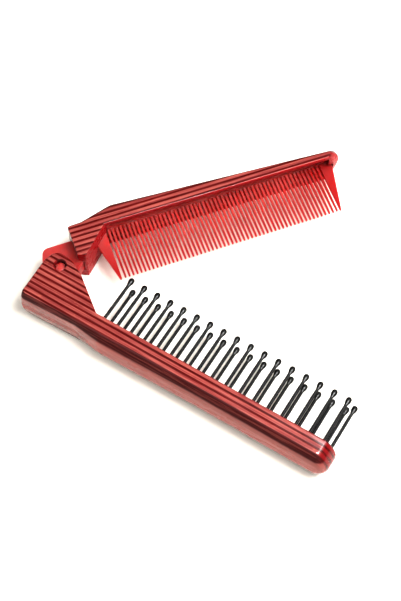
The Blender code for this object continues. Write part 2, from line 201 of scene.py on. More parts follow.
# Pins
PIN_ROW_COUNT = 17
PIN_PITCH = 5.53
FIRST_PIN = 24.4
LAST_PIN = FIRST_PIN + (PIN_ROW_COUNT - 0.5) * PIN_PITCH
LAST_SOCKET_START = LAST_PIN - 3.0
LAST_SOCKET_END = LAST_PIN + 1.7
LAST_SOCKET_HALF = 2.1
ROW_SPACING = 8.5
PIN_FOOT = -12.6
PIN_TOP = 10.3
DROP_START = 2.5  # below the ball's middle, where the shaft begins to widen
DROP_LENGTH = 2.2
DOME_STEPS = 8
SHAFT_SIDES = 20
PIN_SHARP_ANGLE = 60  # degrees

# Comb insert
TOOTH_COUNT = 55
TOOTH_PITCH = 1.537
FIRST_TOOTH = 21.5
TOOTH_ROOT = -12.2
TOOTH_TIP = 8.8
TOOTH_ROOT_HALF = 0.5
TOOTH_TIP_HALF = 0.33
TOOTH_END_STEPS = 6
TOOTH_EDGE_FROM = 0.72  # share of half the plate's thickness at which its edges start to round
PLATE_BACK = -13.4
PLATE_BACK_HALF = 0.85
PLATE_TIP_HALF = 0.42
SPINE_HALF = 2.0
SPINE_FACE = -12.5
SPINE_START = 20.8
SPINE_END = 110.3
SPINE_INSET = 2.1
NEAR_GUARD_SIDE = ((13.0, PLATE_BACK), (13.0, -9.4), (15.7, -7.1))  # along, inner
NEAR_GUARD = 19.7
NEAR_GUARD_HALF = 0.36
NEAR_GUARD_TIP = TOOTH_TIP + 0.2
NEAR_GUARD_END = 20.43
FAR_GUARD_START = 105.57
FAR_GUARD = 105.87
FAR_GUARD_HALF = 0.34
FAR_GUARD_SIDE = ((SPINE_END, -10.4), (SPINE_END, PLATE_BACK + 0.3))

# Colours that the materials mix in
FLECK_COLOUR = (0.62, 0.18, 0.09, 1.0)
# painted shade on the faces that turn towards an arm's tip
TIP_SHADE_COLOUR = (0.2, 0.009, 0.011, 1.0)
WALL_COLOUR = (0.33, 0.009, 0.012, 1.0)
# painted light: a paler warm red standing in for light thrown up from the table onto an arm's back
BELLY_BOUNCE_LIGHT_COLOUR = (0.29, 0.04, 0.026, 1.0)
# painted shade: near-black for the bands along both edges of an arm's rounded back
RIM_SHADE_COLOUR = (0.05, 0.0017, 0.0017, 1.0)
FLOW_COLOUR = (0.56, 0.11, 0.085, 1.0)
DEEP_RED = (0.33, 0.012, 0.013, 1.0)
CLOUDED_BLACK = (0.008, 0.007, 0.007, 1.0)
BUMP_DEPTH = 0.1 * MM

# Stage, with lamps and camera in metres
TABLE_RADIUS = 1500.0
TABLE_SIDES = 96
TABLE_BOTTOM = -20.0
TABLE_TOP = -0.02
LAMPS = (  # name, share of the softbox power, width and height, place, seen only in gloss
    ("overhead_softbox", 1.0, (0.5, 0.5), (0.32, 0.56, 0.77), False),
    ("small_softbox", 0.6, (0.22, 0.24), (0.175, 0.04, 0.405), False),
    ("glint_lamp", 1.7, (0.12, 0.16), (0.16, -0.06, 0.405), True),
)
CEILING_COLOUR = (1.0, 0.985, 0.965, 1.0)
MIRRORED_PART = Vector((-0.22, 0.42, 0.88)).normalized()  # what the arms' flat faces mirror
CAMERA_FROM_HINGE = Vector((0.16081, -0.16076, 0.4052))
CAMERA_RIGHT = Vector((0.85117, 0.52486, -0.00555))
CAMERA_UP = Vector((-0.46162, 0.75356, 0.46804))
SENSOR_WIDTH = 36.0
VIEW_GAMMA = 0.8


def to_mm(length):
    return length / MM


def blend(start, end, share):
    return start + (end - start) * share


def interpolated(x, rows):
    """The value at x between rows that begin with (x, value), carried on past both ends."""
    for (start, low, *_), (end, high, *_) in zip(rows, rows[1:]):
        if x < end:
            break
    return blend(low, high, (x - start) / (end - start))


def quarter_turn(steps):
    """Angles from 0 to a right angle."""
    return [math.pi / 2 * step / steps for step in range(steps + 1)]


# Outlines


def inset_corners(rows, inset):
    """The corners, each (along, inner, radius), after the sides between them move inwards.

    A row is a corner and the share of the inset by which the side from it to the next one moves.
    """
    distances = [inset * share for _x, _y, _radius, share in rows]
    lines = []
    for index, (x, y, _radius, _share) in enumerate(rows):
        after = rows[(index + 1) % len(rows)]
        angle = math.atan2(after[1] - y, after[0] - x)
        inwards = (-math.sin(angle), math.cos(angle))
        lines.append((angle, x + distances[index] * inwards[0], y + distances[index] * inwards[1]))
    moved = []
    for index, (_x, _y, radius, _share) in enumerate(rows):
        angle, x, y = lines[index]
        other, other_x, other_y = lines[index - 1]
        run = (other_x - x) * math.sin(other) - (other_y - y) * math.cos(other)
        reach = run / math.sin(other - angle)
        lost = (distances[index] + distances[index - 1]) / 2
        kept = max(radius - lost, SMALLEST_CORNER)
        moved.append((x + reach * math.cos(angle), y + reach * math.sin(angle), kept))
    return moved


def turn_at(outline, index):
    """The direction in which the outline reaches a corner, and how far it turns left there."""
    x, y = outline[index][:2]
    before = outline[index - 1]
    after = outline[(index + 1) % len(outline)]
    angle_in = math.atan2(y - before[1], x - before[0])
    angle_out = math.atan2(after[1] - y, after[0] - x)
    return angle_in, (angle_out - angle_in + math.pi) % (2 * math.pi) - math.pi


def rounded(corners):
    """The outline through corners (along, inner, radius), each rounded by an arc of its radius."""
    outline = []
    for index, (x, y, radius) in enumerate(corners):
        if radius == 0:
            outline.append((x, y))
            continue
        angle_in, turn = turn_at(corners, index)
        reach = radius * math.tan(abs(turn) / 2)
        side = math.copysign(radius, turn)
        start_x = x - reach * math.cos(angle_in)
        start_y = y - reach * math.sin(angle_in)
        centre_x = start_x - side * math.sin(angle_in)
        centre_y = start_y + side * math.cos(angle_in)
        for step in range(CORNER_STEPS + 1):
            angle = angle_in + turn * step / CORNER_STEPS
            outline.append((centre_x + side * math.sin(angle), centre_y - side * math.cos(angle)))
    return outline


def grown(outline, distance):
    """The counterclockwise outline moved outwards by a distance, or inwards if it is negative."""
    moved = []
    for index, (x, y) in enumerate(outline):
        angle_in, turn = turn_at(outline, index)
        reach = distance / max(math.cos(turn / 2), MITRE_LIMIT)
        outwards = angle_in + turn / 2 - math.pi / 2
        moved.append((x + reach * math.cos(outwards), y + reach * math.sin(outwards)))
    return moved


def flipped(outline):
    """The plan turned over, with its points in the same order."""
    return [(x, -y) for x, y in outline]


def mirrored(outline):
    """The plan turned over for the comb arm, whose inner side is on the right.

    It runs counterclockwise again, because its points are in reverse order.
    """
    return flipped(reversed(outline))


def box_outline(start, end, low, high):
    return [(start, low), (end, low), (end, high), (start, high)]


def circle_outline(radius, sides):
    angles = [2 * math.pi * (side + 0.5) / sides for side in range(sides)]
    return [(radius * math.cos(a), radius * math.sin(a)) for a in angles]


def brush_flat(waist):
    """The waist's outline as it is on the flat faces, drawn in along the back and at the tip.

    The waist is the outline at half the thickness.
    """
    core = BRUSH_FLAT + BRUSH_ROUND
    outline = []
    for x, y in waist:
        if y < core:
            edge = blend(BRUSH_FLAT_END, BRUSH_FLAT, min(max(x / BRUSH_FLAT_RUN, 0), 1))
            if x < 0:
                x += BRUSH_END_BULGE * (core - y) / (core - interpolated(x, BRUSH_BACK))
            y = core + (y - core) * (edge - core) / (interpolated(x, BRUSH_BACK) - core)
        if x > BRUSH_TIP_BULGE_START:
            x = BRUSH_TIP_BULGE_START + (x - BRUSH_TIP_BULGE_START) * BRUSH_TIP_BULGE_KEPT
        outline.append((x, y))
    return outline


def comb_edge(x):
    """Inner coordinate of the edge of the comb arm's flat faces."""
    return interpolated(x, COMB_BACK) + interpolated(max(x, COMB_END), COMB_BULGE)


def comb_flat(waist):
    """The waist's outline as it is on the flat faces, drawn in along the back and at the tip."""
    outline = []
    for x, y in waist:
        core = comb_edge(x) + COMB_ROUND
        if y < core:
            y = core + (y - core) * COMB_ROUND / (core - interpolated(x, COMB_BACK))
        if x > COMB_TIP_BULGE_START:
            x = COMB_TIP_BULGE_START + (x - COMB_TIP_BULGE_START) * COMB_TIP_BULGE_KEPT
        outline.append((x, y))
    return outline


def pocket_outline():
    """Room for the tongue: round the hinge pin towards the tip, and out past the hinge end."""
    angles = [math.pi * (step / POCKET_STEPS - 0.5) for step in range(POCKET_STEPS + 1)]
    arc = [(POCKET_RADIUS * math.cos(a), POCKET_RADIUS * math.sin(a)) for a in angles]
    outside = BRUSH_END - POCKET_REACH
    return arc + [(outside, POCKET_RADIUS), (outside, -POCKET_RADIUS)]


def tongue_outline():
    """The flat eye round the hinge pin, and the root that runs into the comb shell."""
    neck_x, neck_y = TONGUE_NECK
    reach = math.hypot(neck_x, neck_y)
    leave = math.atan2(neck_y, neck_x) + math.acos(TONGUE_EYE_RADIUS / reach)
    steps = range(TONGUE_EYE_STEPS + 1)
    eye = [blend(leave, math.pi, step / TONGUE_EYE_STEPS) for step in steps]
    outline = [(TONGUE_EYE_RADIUS * math.cos(a), TONGUE_EYE_RADIUS * math.sin(a)) for a in eye]
    outline += reversed(rounded(TONGUE_HEEL)[1:-1])
    return outline + [*TONGUE_ROOT, TONGUE_NECK]


def tooth_end(middle, half, tip):
    """Points round the tip of a tooth, from one side to the other."""
    angles = [math.pi * (1 - step / TOOTH_END_STEPS) for step in range(TOOTH_END_STEPS + 1)]
    return [(middle + half * math.cos(a), tip - half + half * math.sin(a)) for a in angles]


def toothed_plate_outline():
    """The plate's plan, clockwise: a slanting guard tooth, the fine teeth, the guard at the tip."""
    outline = [*NEAR_GUARD_SIDE, *tooth_end(NEAR_GUARD, NEAR_GUARD_HALF, NEAR_GUARD_TIP)]
    outline.append((NEAR_GUARD_END, TOOTH_ROOT))
    for index in range(TOOTH_COUNT):
        middle = FIRST_TOOTH + index * TOOTH_PITCH
        outline.append((middle - TOOTH_ROOT_HALF, TOOTH_ROOT))
        outline += tooth_end(middle, TOOTH_TIP_HALF, TOOTH_TIP)
        outline.append((middle + TOOTH_ROOT_HALF, TOOTH_ROOT))
    outline.append((FAR_GUARD_START, TOOTH_ROOT))
    return outline + [*tooth_end(FAR_GUARD, FAR_GUARD_HALF, TOOTH_TIP), *FAR_GUARD_SIDE]


def spine_back(extra):
    """The back of the insert's spine, a constant distance inside the shell's back."""
    stations = (SPINE_START - extra, COMB_SHOULDER, SPINE_END + extra)
    return [(x, interpolated(x, COMB_BACK) + (SPINE_INSET - extra)) for x in stations]


# Meshes


def mesh_object(name, bm):
    bmesh.ops.recalc_face_normals(bm, faces=bm.faces)
    mesh = bpy.data.meshes.new(name)
    bm.to_mesh(mesh)
    bm.free()
    obj = bpy.data.objects.new(name, mesh)
    bpy.context.scene.collection.objects.link(obj)
    return obj


def skinned(name, rings):
    """A closed body through rings of equally many points, each (along, inner, height)."""
    bm = bmesh.new()
    rings = [[bm.verts.new([value * MM for value in point]) for point in ring] for ring in rings]
    for lower, upper in zip(rings, rings[1:]):
        for index in range(len(lower)):
            after = (index + 1) % len(lower)
            bm.faces.new((lower[index], lower[after], upper[after], upper[index]))
    bm.faces.new(list(reversed(rings[0])))
    bm.faces.new(rings[-1])
    return mesh_object(name, bm)


def stacked(name, levels):
    """A closed body through flat outlines, each given as (height, outline)."""
    return skinned(name, [[(x, y, height) for x, y in outline] for height, outline in levels])


def prism(name, outline, bottom, top):
    return stacked(name, [(bottom, outline), (top, outline)])


def soft_rim(radius, steps):
    """A rounded rim's (height, inset), from the flat face to where the side begins."""
    return [(radius * (1 - math.cos(a)), radius * (1 - math.sin(a))) for a in quarter_turn(steps)]


def soft_prism(name, outline, bottom, top, radius, steps):
    """A prism whose top and bottom rims are rounded."""
    shaded_rim = soft_rim(radius, steps)
    levels = [(bottom + height, grown(outline, -inset)) for height, inset in shaded_rim]
    levels += [(top - height, grown(outline, -inset)) for height, inset in reversed(shaded_rim)]
    return stacked(name, levels)


def turned(name, profile, sides):
    """A body turned about the Z axis through profile points given as (height, radius)."""
    bm = bmesh.new()
    points = [bm.verts.new((radius * MM, 0, height * MM)) for height, radius in profile]
    edges = [bm.edges.new(pair) for pair in zip(points, points[1:])]
    bmesh.ops.spin(
        bm,
        geom=points + edges,
        cent=(0, 0, 0),
        axis=(0, 0, 1),
        angle=2 * math.pi,
        steps=sides,
        use_merge=True,
    )
    bmesh.ops.remove_doubles(bm, verts=bm.verts, dist=MERGE_DISTANCE * MM)
    bmesh.ops.holes_fill(bm, edges=[edge for edge in bm.edges if edge.is_boundary], sides=0)
    return mesh_object(name, bm)


def apply_booleans(obj, cutters, joined=()):
    """Cuts and joins the helpers into the object's own mesh, then removes them."""
    for helper, operation in [(j, "UNION") for j in joined] + [(c, "DIFFERENCE") for c in cutters]:
        modifier = obj.modifiers.new(helper.name, "BOOLEAN")
        modifier.operation = operation
        modifier.solver = "EXACT"
        modifier.object = helper
    bpy.context.view_layer.update()
    graph = bpy.context.evaluated_depsgraph_get()
    mesh = bpy.data.meshes.new_from_object(obj.evaluated_get(graph))
    if not mesh.polygons:
        raise RuntimeError(f"{obj.name}: the Boolean left nothing")
    obj.modifiers.clear()
    obj.data = mesh
    for helper in [*cutters, *joined]:
        bpy.data.objects.remove(helper, do_unlink=True)


def smooth(obj, degrees=SHARP_ANGLE):
    """Shades the piece smooth, with edges sharp where its faces meet at more than this angle."""
    obj.data.shade_smooth()
    obj.data.set_sharp_from_angle(angle=math.radians(degrees))


def place(obj, arm_angle):
    """Sets the piece down with its plan's origin on the hinge, turned to its arm's direction."""
    turn = Matrix.Rotation(math.radians(arm_angle), 4, "Z")
    obj.data.transform(Matrix.Translation(HINGE) @ turn)


def dress(obj, material, body, nodes):
    """Finishes a piece: its material, the arm it turns with, and the solids it stands for."""
    obj.data.materials.clear()
    obj.data.materials.append(material)
    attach(obj, body)
    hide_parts(*nodes)


def shell_levels(corners, flat_of, edge_radius):
    """A shell's outlines through its thickness.

    They follow an arc round the back, with soft rims where it meets the flat faces.
    """
    shaded_rim = soft_rim(edge_radius, RIM_STEPS)
    heights = list(shaded_rim)
    for step in range(1, ARC_STEPS):
        heights.append((blend(edge_radius, THICKNESS - edge_radius, step / ARC_STEPS), 0.0))
    heights += [(THICKNESS - height, inset) for height, inset in reversed(shaded_rim)]
    steepest = math.radians(ARC_HALF_ANGLE)
    levels = []
    for height, inset in heights:
        waist = rounded(inset_corners(corners, inset))
        angle = math.asin((height / MIDDLE - 1) * math.sin(steepest))
        lost = (1 - math.cos(angle)) / (1 - math.cos(steepest))
        pairs = zip(waist, flat_of(waist))
        outline = [(blend(w[0], f[0], lost), blend(w[1], f[1], lost)) for w, f in pairs]
        levels.append((height, outline))
    return levels


# Materials


def scaled(colour, share):
    """The colour with its three channels multiplied by a share."""
    return (*[channel * share for channel in colour[:3]], 1.0)


class Nodes:
    """Adds nodes to the tree of a material or world and links them by socket."""

    def __init__(self, owner, shader, arm_angle=0.0):
        self.turn = Matrix.Rotation(math.radians(arm_angle), 3, "Z")
        self.owner = owner
        self.owner.use_nodes = True
        self.tree = owner.node_tree
        self.shader = self.tree.nodes[shader]

    def fill(self, socket, value):
        """Links an output to the socket, or sets it to a plain value."""
        if isinstance(value, bpy.types.NodeSocket):
            self.tree.links.new(value, socket)
        else:
            socket.default_value = value

    def add(self, kind, inputs=None, **settings):
        node = self.tree.nodes.new(kind)
        for name, value in settings.items():
            setattr(node, name, value)
        for name, value in (inputs or {}).items():
            self.fill(node.inputs[name], value)
        return node

    def math(self, operation, first, second=0.0, third=0.0):
        inputs = {0: first, 1: second, 2: third}
        return self.add("ShaderNodeMath", inputs, operation=operation).outputs[0]

    def place(self, scale):
        """Coordinates in the arm's own plan, stretched by this scale per metre."""
        inputs = {
            "Vector": self.add("ShaderNodeTexCoord").outputs["Object"],
            "Location": HINGE,
            "Rotation": self.turn.to_euler(),
            "Scale": [1 / share for share in scale],
        }
        return self.add("ShaderNodeMapping", inputs, vector_type="TEXTURE").outputs["Vector"]

    def spot(self):
        """The place in the arm's own plan in millimetres, as outputs X, Y and Z."""
        return self.add("ShaderNodeSeparateXYZ", {"Vector": self.place([1 / MM] * 3)}).outputs

    def dot(self, vector, direction):
        inputs = {0: vector, 1: direction}
        return self.add("ShaderNodeVectorMath", inputs, operation="DOT_PRODUCT").outputs["Value"]

    def facing(self, direction):
        """How far the surface faces a direction of the arm's own plan, from -1 to 1."""
        normal = self.add("ShaderNodeTexCoord").outputs["Normal"]
        return self.dot(normal, self.turn @ Vector(direction))

    def noise(self, scale, detail=3.0, roughness=0.5, distortion=0.0):
        inputs = {
            "Vector": self.place(scale),
            "Scale": 1.0,
            "Detail": detail,
            "Roughness": roughness,
            "Distortion": distortion,
        }
        return self.add("ShaderNodeTexNoise", inputs).outputs["Fac"]

    def ramp(self, factor, low, high, out_low=0.0, out_high=1.0):
        """A smooth step from one output to the other, as the factor goes from low to high."""
        inputs = {
            "Value": factor,
            "From Min": low,
            "From Max": high,
            "To Min": out_low,
            "To Max": out_high,
        }
        node = self.add("ShaderNodeMapRange", inputs, interpolation_type="SMOOTHSTEP")
        return node.outputs["Result"]

    def mix(self, factor, first, second):
        """Goes from the first colour to the second. A Mix node's colour sockets are 6, 7 and 2."""
        inputs = {0: factor, 6: first, 7: second}
        return self.add("ShaderNodeMix", inputs, data_type="RGBA").outputs[2]

    def bump(self, height, strength):
        inputs = {"Strength": strength, "Distance": BUMP_DEPTH, "Height": height}
        normal = self.add("ShaderNodeBump", inputs).outputs["Normal"]
        self.fill(self.shader.inputs["Normal"], normal)

    def finished(self, **inputs):
        """The material or world, with its shader's inputs filled in."""
        for name, value in inputs.items():
            self.fill(self.shader.inputs[name.replace("_", " ")], value)
        return self.owner


def principled(name, arm_angle=0.0):
    return Nodes(bpy.data.materials.new(name), "Principled BSDF", arm_angle)


def striped_lacquer(name, look, arm_angle, first_stripe, inner_side):
    """Dark and bright layers across the arm, with grain along it, under clear lacquer.

    The first stripe lies at this many millimetres across the arm's plan. The inner side is 1.0
    where it is the plan's left, and -1.0 where it is the right.
    """
    made = principled(name, arm_angle)
    spot = made.spot()
    waver = made.math("MULTIPLY_ADD", made.noise((25, 160, 160), 2.0), 0.3, -0.15)
    across = made.math("ADD", made.math("SUBTRACT", spot["Y"], first_stripe), waver)
    turns = made.math("DIVIDE", across, to_mm(look.stripe_pitch))
    from_middle = made.math("ABSOLUTE", made.math("SUBTRACT", made.math("FRACT", turns), 0.5))
    half = look.stripe_width / look.stripe_pitch / 2
    stripe = made.ramp(from_middle, half - 0.05, half + 0.07, 1.0, 0.0)
    layer = {"W": made.math("FLOOR", turns)}
    tone = made.add("ShaderNodeTexWhiteNoise", layer, noise_dimensions="1D").outputs["Value"]

    grain = made.noise((55, 1500, 900), 4.0, 0.6, 0.4)
    fleck = made.noise((260, 900, 900), 3.0, 0.6)
    bright = made.mix(made.ramp(grain, 0.32, 0.68), look.layer_colour, look.grain_colour)
    bright = made.mix(made.math("MULTIPLY", tone, 0.22), bright, scaled(look.layer_colour, 0.55))
    bright = made.mix(made.ramp(fleck, 0.62, 0.78, 0.0, 0.35), bright, FLECK_COLOUR)
    # painted shade: faces turned towards the arm's tip take a deep red in place of the bright
    # layers
    bright = made.mix(made.ramp(made.facing((1, 0, 0)), 0.2, 0.6), bright, TIP_SHADE_COLOUR)
    pale_stripe = scaled(look.stripe_colour, 2.2)
    dark = made.mix(made.ramp(grain, 0.35, 0.75), look.stripe_colour, pale_stripe)
    colour = made.mix(stripe, bright, dark)

    inner = made.facing((0, inner_side, 0))
    colour = made.mix(made.ramp(inner, 0.45, 0.75), colour, WALL_COLOUR)
    back = made.ramp(inner, -0.6, -0.3, 1.0, 0.0)
    from_waist = made.math("ABSOLUTE", made.math("SUBTRACT", spot["Z"], MIDDLE))
    # painted shade: a near-black band along both edges of the rounded back, where little light
    # falls; the grain lets a little of the layer colour through
    shaded_rim = made.math("MULTIPLY", back, made.ramp(from_waist, 4.4, 5.2))
    # painted light: the middle of the back, between the shaded bands, is mixed towards a paler warm
    # red standing in for light thrown up from the table
    bounce_lit_belly = made.math("SUBTRACT", back, shaded_rim)
    colour = made.mix(made.math("MULTIPLY", bounce_lit_belly, 0.7), colour, BELLY_BOUNCE_LIGHT_COLOUR)
    streak = made.ramp(grain, 0.42, 0.62, 1.0, 0.72)
    colour = made.mix(made.math("MULTIPLY", shaded_rim, streak), colour, RIM_SHADE_COLOUR)

    gloss = made.math("MULTIPLY_ADD", bounce_lit_belly, made.ramp(from_waist, 0.3, 2.8, -0.12, 0.5), 0.4)
    dull = made.math("ADD", shaded_rim, made.ramp(inner, 0.05, 0.35))
    gloss = made.math("MULTIPLY_ADD", dull, -0.34, gloss)
    roughness = made.ramp(made.noise((90, 500, 500), 4.0, 0.6), 0.3, 0.75, 0.22, 0.4)
    made.bump(made.math("SUBTRACT", made.math("MULTIPLY", grain, 0.25), stripe), 0.3)
    return made.finished(
        Base_Color=colour,
        Roughness=made.math("MULTIPLY_ADD", shaded_rim, 0.35, roughness),
        Specular_IOR_Level=0.12,
        Coat_Weight=made.math("MULTIPLY", gloss, look.lacquer),
        Coat_Roughness=0.07,
        Coat_IOR=1.55,
    )


def moulded_red(name, look, arm_angle=0.0, teeth=False):
    """Plain satin red plastic with faint flow marks.

    With teeth, it is deeper in colour towards their ends and towards the comb's tip.
    """
    made = principled(name, arm_angle)
    clouds = made.ramp(made.noise((120, 120, 120), 3.0, 0.55), 0.3, 0.7)
    flow = made.noise((70, 420, 420), 4.0, 0.6, 0.6)
    colour = made.mix(clouds, look.colour, scaled(look.colour, 0.78))
    colour = made.mix(made.ramp(flow, 0.55, 0.8, 0.0, 0.25), colour, FLOW_COLOUR)
    if teeth:
        spot = made.spot()
        colour = made.mix(made.ramp(spot["X"], 92.0, 106.0, 0.0, 0.85), colour, DEEP_RED)
        colour = made.mix(made.ramp(spot["Y"], 7.0, -6.0, 0.0, 0.9), colour, DEEP_RED)
    made.bump(made.noise((600, 600, 600), 4.0, 0.6), 0.12)
    return made.finished(
        Base_Color=colour,
        Roughness=made.ramp(flow, 0.3, 0.7, 0.28, 0.4),
        Specular_IOR_Level=0.08,
        Subsurface_Weight=1.0,
        Subsurface_Radius=(1.0, 0.1, 0.08),
        Subsurface_Scale=0.004,
        Transmission_Weight=0.25,
    )


def black_gloss(name, look):
    """Glossy black plastic with faint clouding."""
    made = principled(name)
    clouds = made.noise((900, 300, 900), 4.0, 0.65)
    made.bump(made.noise((1500, 1500, 500), 3.0), 0.04)
    return made.finished(
        Base_Color=made.mix(made.ramp(clouds, 0.45, 0.8), look.colour, CLOUDED_BLACK),
        Roughness=made.ramp(clouds, 0.3, 0.8, 0.03, 0.1),
        Specular_IOR_Level=0.15,
    )


def pale_table(name, colour):
    """A matt pale tabletop with barely visible clouding."""
    made = principled(name)
    clouds = made.ramp(made.noise((6, 6, 6), 3.0), 0.3, 0.7)
    return made.finished(Base_Color=made.mix(clouds, colour, scaled(colour, 0.985)), Roughness=0.85)


# What a user would change


class ShellLook(bpy.types.PropertyGroup):
    """Sizes, colours and lacquer of both striped shells."""

    stripe_pitch: bpy.props.FloatProperty(
        name="Stripe spacing",
        description="Distance from one dark stripe to the next",
        default=0.00205,
        min=0.001,
        max=0.005,
        unit="LENGTH",
        precision=5,
    )
    stripe_width: bpy.props.FloatProperty(
        name="Stripe width",
        description="Width of a dark stripe",
        default=0.00078,
        min=0.0002,
        max=0.002,
        unit="LENGTH",
        precision=5,
    )
    edge_radius: bpy.props.FloatProperty(
        name="Edge radius",
        description="Rounding of the rims of the flat faces",
        default=0.0005,
        min=0.0001,
        max=0.001,
        unit="LENGTH",
        precision=5,
    )
    layer_colour: bpy.props.FloatVectorProperty(
        name="Bright layer",
        description="Main colour of the bright layers",
        default=(0.212, 0.033, 0.032, 1.0),
        size=4,
        min=0.0,
        max=1.0,
        subtype="COLOR",
    )
    grain_colour: bpy.props.FloatVectorProperty(
        name="Grain",
        description="Colour of the lighter grain in the bright layers",
        default=(0.4, 0.108, 0.088, 1.0),
        size=4,
        min=0.0,
        max=1.0,
        subtype="COLOR",
    )
    stripe_colour: bpy.props.FloatVectorProperty(
        name="Dark stripe",
        description="Colour of the dark stripes",
        default=(0.062, 0.003, 0.003, 1.0),
        size=4,
        min=0.0,
        max=1.0,
        subtype="COLOR",
    )
    lacquer: bpy.props.FloatProperty(
        name="Lacquer",
        description="Share of clear gloss over the stripes",
        default=1.0,
        min=0.0,
        max=1.0,
        subtype="FACTOR",
    )


class InsertLook(bpy.types.PropertyGroup):
    """Edges and colour of the plain red pieces."""

    edge_radius: bpy.props.FloatProperty(
        name="Tongue edge radius",
        description="Rounding of the tongue's rims",
        default=0.0004,
        min=0.0001,
        max=0.001,
        unit="LENGTH",
        precision=5,
    )
    tooth_edge: bpy.props.FloatProperty(
        name="Tooth edge",
        description="Rounding along the sides of the teeth",
        default=0.00012,
        min=0.00002,
        max=0.0002,
        unit="LENGTH",
        precision=5,
    )
    colour: bpy.props.FloatVectorProperty(
        name="Red plastic",
        description="Colour of the insert, the bristle bed and the hinge pin",
        default=(0.56, 0.078, 0.074, 1.0),
        size=4,
        min=0.0,
        max=1.0,
        subtype="COLOR",
    )


class PinLook(bpy.types.PropertyGroup):
    """Sizes and colour of the brush pins."""

    shaft_radius: bpy.props.FloatProperty(
        name="Shaft radius",
        description="Radius of a pin's shaft",
        default=0.0006,
        min=0.0003,
        max=0.0008,
        unit="LENGTH",
        precision=5,
    )
    ball_radius: bpy.props.FloatProperty(
        name="Ball radius",
        description="Radius of the drop-shaped ball at a pin's tip",
        default=0.00108,
        min=0.0006,
        max=0.0015,
        unit="LENGTH",
        precision=5,
    )
    colour: bpy.props.FloatVectorProperty(
        name="Pin colour",
        description="Colour of the pins",
        default=(0.003, 0.0028, 0.0028, 1.0),
        size=4,
        min=0.0,
        max=1.0,
        subtype="COLOR",
    )


class StageLook(bpy.types.PropertyGroup):
    """Table, lamps, ceiling and camera."""

    table_colour: bpy.props.FloatVectorProperty(
        name="Table",
        description="Colour of the table",
        default=(0.93, 0.9, 0.83, 1.0),
        size=4,
        min=0.0,
        max=1.0,
        subtype="COLOR",
    )
    softbox_power: bpy.props.FloatProperty(
        name="Softbox power",
        description="Power of the overhead softbox. The two smaller lamps keep their share of it",
        default=4.6,
        min=0.0,
        max=50.0,
        unit="POWER",
    )
    sky: bpy.props.FloatProperty(
        name="Ceiling light",
        description="Brightness of the pale ceiling",
        default=2.9,
        min=0.0,
        max=20.0,
        subtype="FACTOR",
    )
    lens: bpy.props.FloatProperty(
        name="Lens",
        description="Focal length of the camera",
        default=75.01,
        min=20.0,
        max=200.0,
        unit="CAMERA",
    )


# Pieces


class BuildBrushShell(bpy.types.Operator):
    """Builds the brush arm's striped shell"""

    bl_idname = "folding_comb.brush_shell"
    bl_label = "Brush Shell"

    def execute(self, context):
        look = context.scene.comb_shell_look
        levels = shell_levels(BRUSH_BACK + BRUSH_FRONT, brush_flat, to_mm(look.edge_radius))
        shell = stacked("brush_shell_look", levels)
        depth = (BRUSH_CHANNEL_DEPTH, BRUSH_MOUTH)
        channel = box_outline(BRUSH_CHANNEL_START, BRUSH_CHANNEL_END, *depth)
        socket = box_outline(LAST_SOCKET_START, LAST_SOCKET_END, *depth)
        hole = PIN_RADIUS + GAP
        hole_profile = [
            (-PAST, hole + HOLE_RIM + PAST),
            (HOLE_RIM, hole),
            (THICKNESS - HOLE_RIM, hole),
            (THICKNESS + PAST, hole + HOLE_RIM + PAST),
        ]
        cutters = [
            prism("cut_channel", channel, WALL, THICKNESS - WALL),
            prism("cut_last_socket", socket, MIDDLE - LAST_SOCKET_HALF, MIDDLE + LAST_SOCKET_HALF),
            prism("cut_pocket", pocket_outline(), CHEEK, THICKNESS - CHEEK),
            turned("cut_hole", hole_profile, HOLE_SIDES),
        ]
        apply_booleans(shell, cutters)
        smooth(shell)
        place(shell, 0)
        material = striped_lacquer("brush_arm_stripes", look, 0, BRUSH_FIRST_STRIPE, 1.0)
        dress(shell, material, BRUSH_BODY, ["brush_shell"])
        return {"FINISHED"}


class BuildBristleBed(bpy.types.Operator):
    """Finishes the bristle bed in the brush arm's channel"""

    bl_idname = "folding_comb.bristle_bed"
    bl_label = "Bristle Bed"

    def execute(self, context):
        bed = frame["nodes"]["bristle_bed"]
        bed.data.materials.clear()
        bed.data.materials.append(moulded_red("bed_red_plastic", context.scene.comb_insert_look))
        return {"FINISHED"}


class BuildBrushPins(bpy.types.Operator):
    """Builds the two rows of ball-tipped pins and the single one at the tip"""

    bl_idname = "folding_comb.brush_pins"
    bl_label = "Brush Pins"

    def execute(self, context):
        look = context.scene.comb_pin_look
        material = black_gloss("black_pin_gloss", look)
        profile = self.profile(to_mm(look.shaft_radius), to_mm(look.ball_radius))
        places = [
            (FIRST_PIN + index * PIN_PITCH, MIDDLE + side * ROW_SPACING / 2)
            for index in range(PIN_ROW_COUNT)
            for side in (1, -1)
        ]
        places.append((LAST_PIN, MIDDLE))
        lying = Matrix.Rotation(-math.pi / 2, 4, "X")
        for number, (along, height) in enumerate(places, 1):
            pin = turned(f"brush_pin_{number:02d}", profile, SHAFT_SIDES)
            pin.data.transform(Matrix.Translation(Vector((along, 0, height)) * MM) @ lying)
            smooth(pin, PIN_SHARP_ANGLE)
            place(pin, 0)
            dress(pin, material, BRUSH_BODY, [f"pin_{number:02d}"])
        return {"FINISHED"}

    def profile(self, shaft, ball):
        """A pin's (height, radius), from its foot up the shaft and over the drop-shaped ball."""
        middle = PIN_TOP - ball
        points = [(PIN_FOOT, 0.0), (PIN_FOOT, shaft)]
        for step in range(DOME_STEPS + 1):
            share = step / DOME_STEPS
            radius = blend(shaft, ball, share * share * (3 - 2 * share))
            points.append((middle - DROP_START + DROP_LENGTH * share, radius))
        dome = quarter_turn(DOME_STEPS)[1:-1]
        points += [(middle + ball * math.sin(a), ball * math.cos(a)) for a in dome]
        return points + [(middle + ball, 0.0)]


